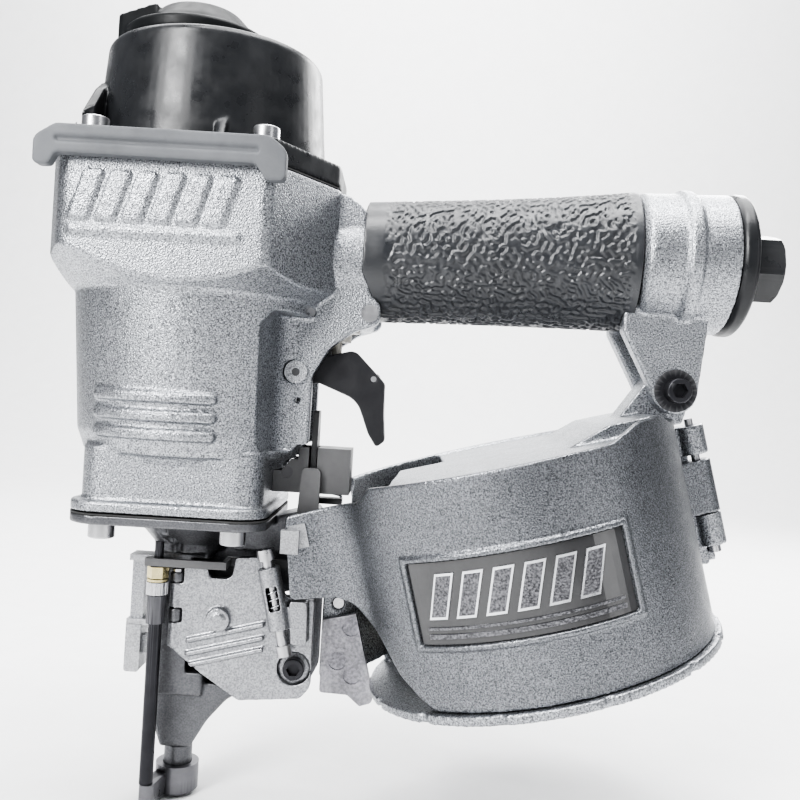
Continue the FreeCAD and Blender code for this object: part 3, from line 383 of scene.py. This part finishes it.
# copies of CAD nodes with more than one surface, or small added discs
def repaint(node, extra, index, discs=()):
    """extra: further materials; index: world point -> material; discs: (centre, axis, radius, depth, material)"""
    src = NODES[node]
    me = src.data.copy()
    o = bpy.data.objects.new("look_" + node, me)
    bpy.context.scene.collection.objects.link(o)
    o.matrix_world = src.matrix_world.copy()
    mw = o.matrix_world.copy()
    mi = mw.inverted()
    me.materials.clear()
    me.materials.append(MATS[SLOT[node]])
    for m in extra:
        me.materials.append(m)
    for p in me.polygons:
        p.material_index = index(mw @ p.center)
    if discs:
        bm = bmesh.new()
        bm.from_mesh(me)
        for c, ax, rad, dep, k in discs:
            rot = Vector(ax).to_track_quat("Z", "Y").to_matrix().to_4x4()
            got = bmesh.ops.create_cone(bm, cap_ends=True, segments=32, radius1=rad, radius2=rad, depth=dep, matrix=mi @ Matrix.Translation(c) @ rot)
            for f in {f for v in got["verts"] for f in v.link_faces}:
                f.material_index = k
        bm.to_mesh(me)
        bm.free()
    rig.replaces(o, node)
    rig.ride(o, BODY[node])
    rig.slot(o, SLOT[node])
    return o

C15, S15 = math.cos(math.radians(15)), math.sin(math.radians(15))
def undrum(r, a, z):
    x = r * math.cos(a)
    return Vector((0.1024 + x * C15 - z * S15, r * math.sin(a), 0.1516 + x * S15 + z * C15))

def badge():
    """plate bent round the drum, with a generic relief: slanted bars over two rails"""
    me = bpy.data.meshes.new("look_cover_badge")
    bm = bmesh.new()
    def bent(a0, a1, z0, z1, r0, r1, slant, na, side, top):
        zm = (z0 + z1) / 2
        g = {}
        for i in range(na + 1):
            for j in range(2):
                z = (z0, z1)[j]
                a = a0 + (a1 - a0) * i / na + slant * (z - zm)
                for k in range(2):
                    g[i, j, k] = bm.verts.new(undrum((r0, r1)[k] / 1000, a, z / 1000))
        def f(vs, m):
            bm.faces.new(vs).material_index = m
        for i in range(na):
            f((g[i, 0, 1], g[i + 1, 0, 1], g[i + 1, 1, 1], g[i, 1, 1]), top)
            f((g[i, 1, 0], g[i + 1, 1, 0], g[i + 1, 0, 0], g[i, 0, 0]), side)
            f((g[i, 0, 0], g[i + 1, 0, 0], g[i + 1, 0, 1], g[i, 0, 1]), side)
            f((g[i, 1, 1], g[i + 1, 1, 1], g[i + 1, 1, 0], g[i, 1, 0]), side)
        f((g[0, 1, 0], g[0, 0, 0], g[0, 0, 1], g[0, 1, 1]), side)
        f((g[na, 0, 0], g[na, 1, 0], g[na, 1, 1], g[na, 0, 1]), side)
    p0, p1 = math.radians(-133) + 0.036, math.radians(-63) - 0.036
    bent(p0, p1, -75.1, -49.9, 59.45, 60.1, 0.0, 28, 0, 0)
    for z0, z1 in ((-73.3, -71.9), (-70.6, -69.8)):
        bent(p0 + 0.06, p1 - 0.06, z0, z1, 59.9, 60.7, 0.0, 26, 2, 1)
    for i in range(6):
        b = p0 + 0.12 + i * 0.155
        bent(b, b + 0.105, -67.3, -53.4, 59.9, 60.62, 0.0058, 4, 2, 2)
        bent(b + 0.011, b + 0.094, -66.5, -54.2, 60.0, 60.7, 0.0058, 4, 2, 1)
    bmesh.ops.recalc_face_normals(bm, faces=bm.faces)
    bm.to_mesh(me)
    bm.free()
    for m in (MATS["gloss_black"],
              mat("badge_relief", (0.17, 0.17, 0.18), 0.9, 0.38, 0.7, 0.12, "cells", 0.1, 0.1, speck=0.5),
              mat("badge_edge", (0.75, 0.76, 0.78), 1.0, 0.28, 0.6, 0.02)):
        me.materials.append(m)
    o = bpy.data.objects.new("look_cover_badge", me)
    bpy.context.scene.collection.objects.link(o)
    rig.replaces(o, "cover_badge")
    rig.ride(o, BODY["cover_badge"])
    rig.slot(o, SLOT["cover_badge"])
badge()
# a flat black disc on each painted-over pin head: painted shade standing in for the dark hollow of a socket
repaint("trigger_pin", [MATS["frame_paint"], MATS["black_screw"]], lambda p: 1,
        discs=[((0.0359, s * 0.01520, 0.151), (0, 1, 0), 0.0014, 0.00044, 2) for s in (-1, 1)])
repaint("contact_arm_guide", [MATS["black_screw"]], lambda p: 0, discs=[((0.034, 0.0008, 0.116), (0, 1, 0), 0.00204, 0.0160, 1)])
skin("trigger", 0.4, 3)
skin("handle_end_cap", 0.5, 3)

# springs shorten as their joints move
def spring(node, body, joint, axis, travel):
    src = NODES[node]
    o = bpy.data.objects.new("look_" + node, src.data.copy())
    bpy.context.scene.collection.objects.link(o)
    o.matrix_world = src.matrix_world.copy()
    d = Vector(axis).normalized()
    pts = [o.matrix_world @ v.co for v in o.data.vertices]
    t = [p.dot(d) for p in pts]
    end = pts[t.index(max(t))]
    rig.replaces(o, node)
    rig.ride(o, body)
    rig.slot(o, SLOT[node])
    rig.squash(o, joint, axis=tuple(d), anchor=tuple(end), keep=max(0.06, 1 - travel / (max(t) - min(t))))
spring("head_valve_spring", BODY["head_valve_spring"], "head_valve_slide", (0, 0, 1), 0.006)
spring("trigger_valve_spring", BODY["trigger_valve_spring"], "valve_stem_slide", (0, 0, 1), 0.0023)
spring("contact_spring", BODY["contact_spring"], "contact_arm_slide", (0, 0, 1), 0.0064)
spring("latch_spring", "door", "latch_slide", (-0.238, 0, 0.9713), 0.005)
spring("feed_spring", BODY["feed_spring"], "feed_piston_slide", (math.cos(math.radians(15)), 0, math.sin(math.radians(15))), 0.011)

# ---------------------------------------------------------------- stage
me = bpy.data.meshes.new("floor")
bm = bmesh.new()
# floor with a swept-up back
pts = [(-1.5, 0.0)] + [(0.9 + 0.6 * math.sin(t), 0.6 - 0.6 * math.cos(t)) for t in [i * math.pi / 24 for i in range(13)]] + [(1.5, 2.2)]
rows = []
for x in (-2.2, 2.4):
    rows.append([bm.verts.new((x, y, z - 0.0012)) for y, z in pts])
for i in range(len(pts) - 1):
    bm.faces.new((rows[0][i], rows[1][i], rows[1][i + 1], rows[0][i + 1]))
bm.to_mesh(me)
bm.free()
me.materials.append(MATS["floor"])
me.polygons.foreach_set("use_smooth", [True] * len(me.polygons))
fl = bpy.data.objects.new("floor", me)
bpy.context.scene.collection.objects.link(fl)
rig.stage(fl)

def area(name, loc, target, size, power, col=(1, 1, 1), sy=None):
    d = bpy.data.lights.new(name, "AREA")
    d.shape = "RECTANGLE"
    d.size = size
    d.size_y = sy or size
    d.energy = power
    d.color = col
    o = bpy.data.objects.new(name, d)
    bpy.context.scene.collection.objects.link(o)
    o.location = loc
    o.rotation_euler = (Vector(target) - Vector(loc)).to_track_quat("-Z", "Y").to_euler()
    return o

T = (0.07, 0, 0.14)
area("key", (-0.42, -0.70, 0.62), T, 0.30, 9.5, sy=0.6)
area("top", (0.15, -0.20, 0.95), T, 0.7, 6.5, sy=0.30)
area("fill", (0.80, -0.62, 0.30), T, 0.22, 0.9, sy=0.8)
area("rim", (0.5, 0.6, 0.6), T, 0.4, 4)
area("back", (0.05, 0.55, 1.3), (0.07, 1.5, 0.35), 1.4, 34)

w = bpy.data.worlds.new("w")
bpy.context.scene.world = w
w.use_nodes = True
bg = w.node_tree.nodes["Background"]
bg.inputs[0].default_value = (0.93, 0.95, 1.0, 1)
bg.inputs[1].default_value = 0.26

cam = bpy.data.cameras.new("cam")
cam.sensor_width = 36.0
cam.lens = 39.6
cam.clip_start = 0.01
co = bpy.data.objects.new("cam", cam)
bpy.context.scene.collection.objects.link(co)
r = math.radians(3.4)
co.matrix_world = Matrix(((math.cos(r), -math.sin(r), 0, 0.07205), (0, 0, -1, -0.316), (math.sin(r), math.cos(r), 0, 0.1435), (0, 0, 0, 1)))
bpy.context.scene.camera = co
bpy.context.scene.view_settings.view_transform = "AgX"
try:
    bpy.context.scene.view_settings.look = "AgX - High Contrast"
except Exception:
    pass
bpy.context.scene.view_settings.exposure = 0.15

b1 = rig.bounds()
def lst(b):
    return [[float(v) for v in q] for q in b]
try:
    json.dump({"after_load": lst(b0), "before_finish": lst(b1)}, open("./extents.json", "w"))
except Exception as e:
    print("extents.json", e)
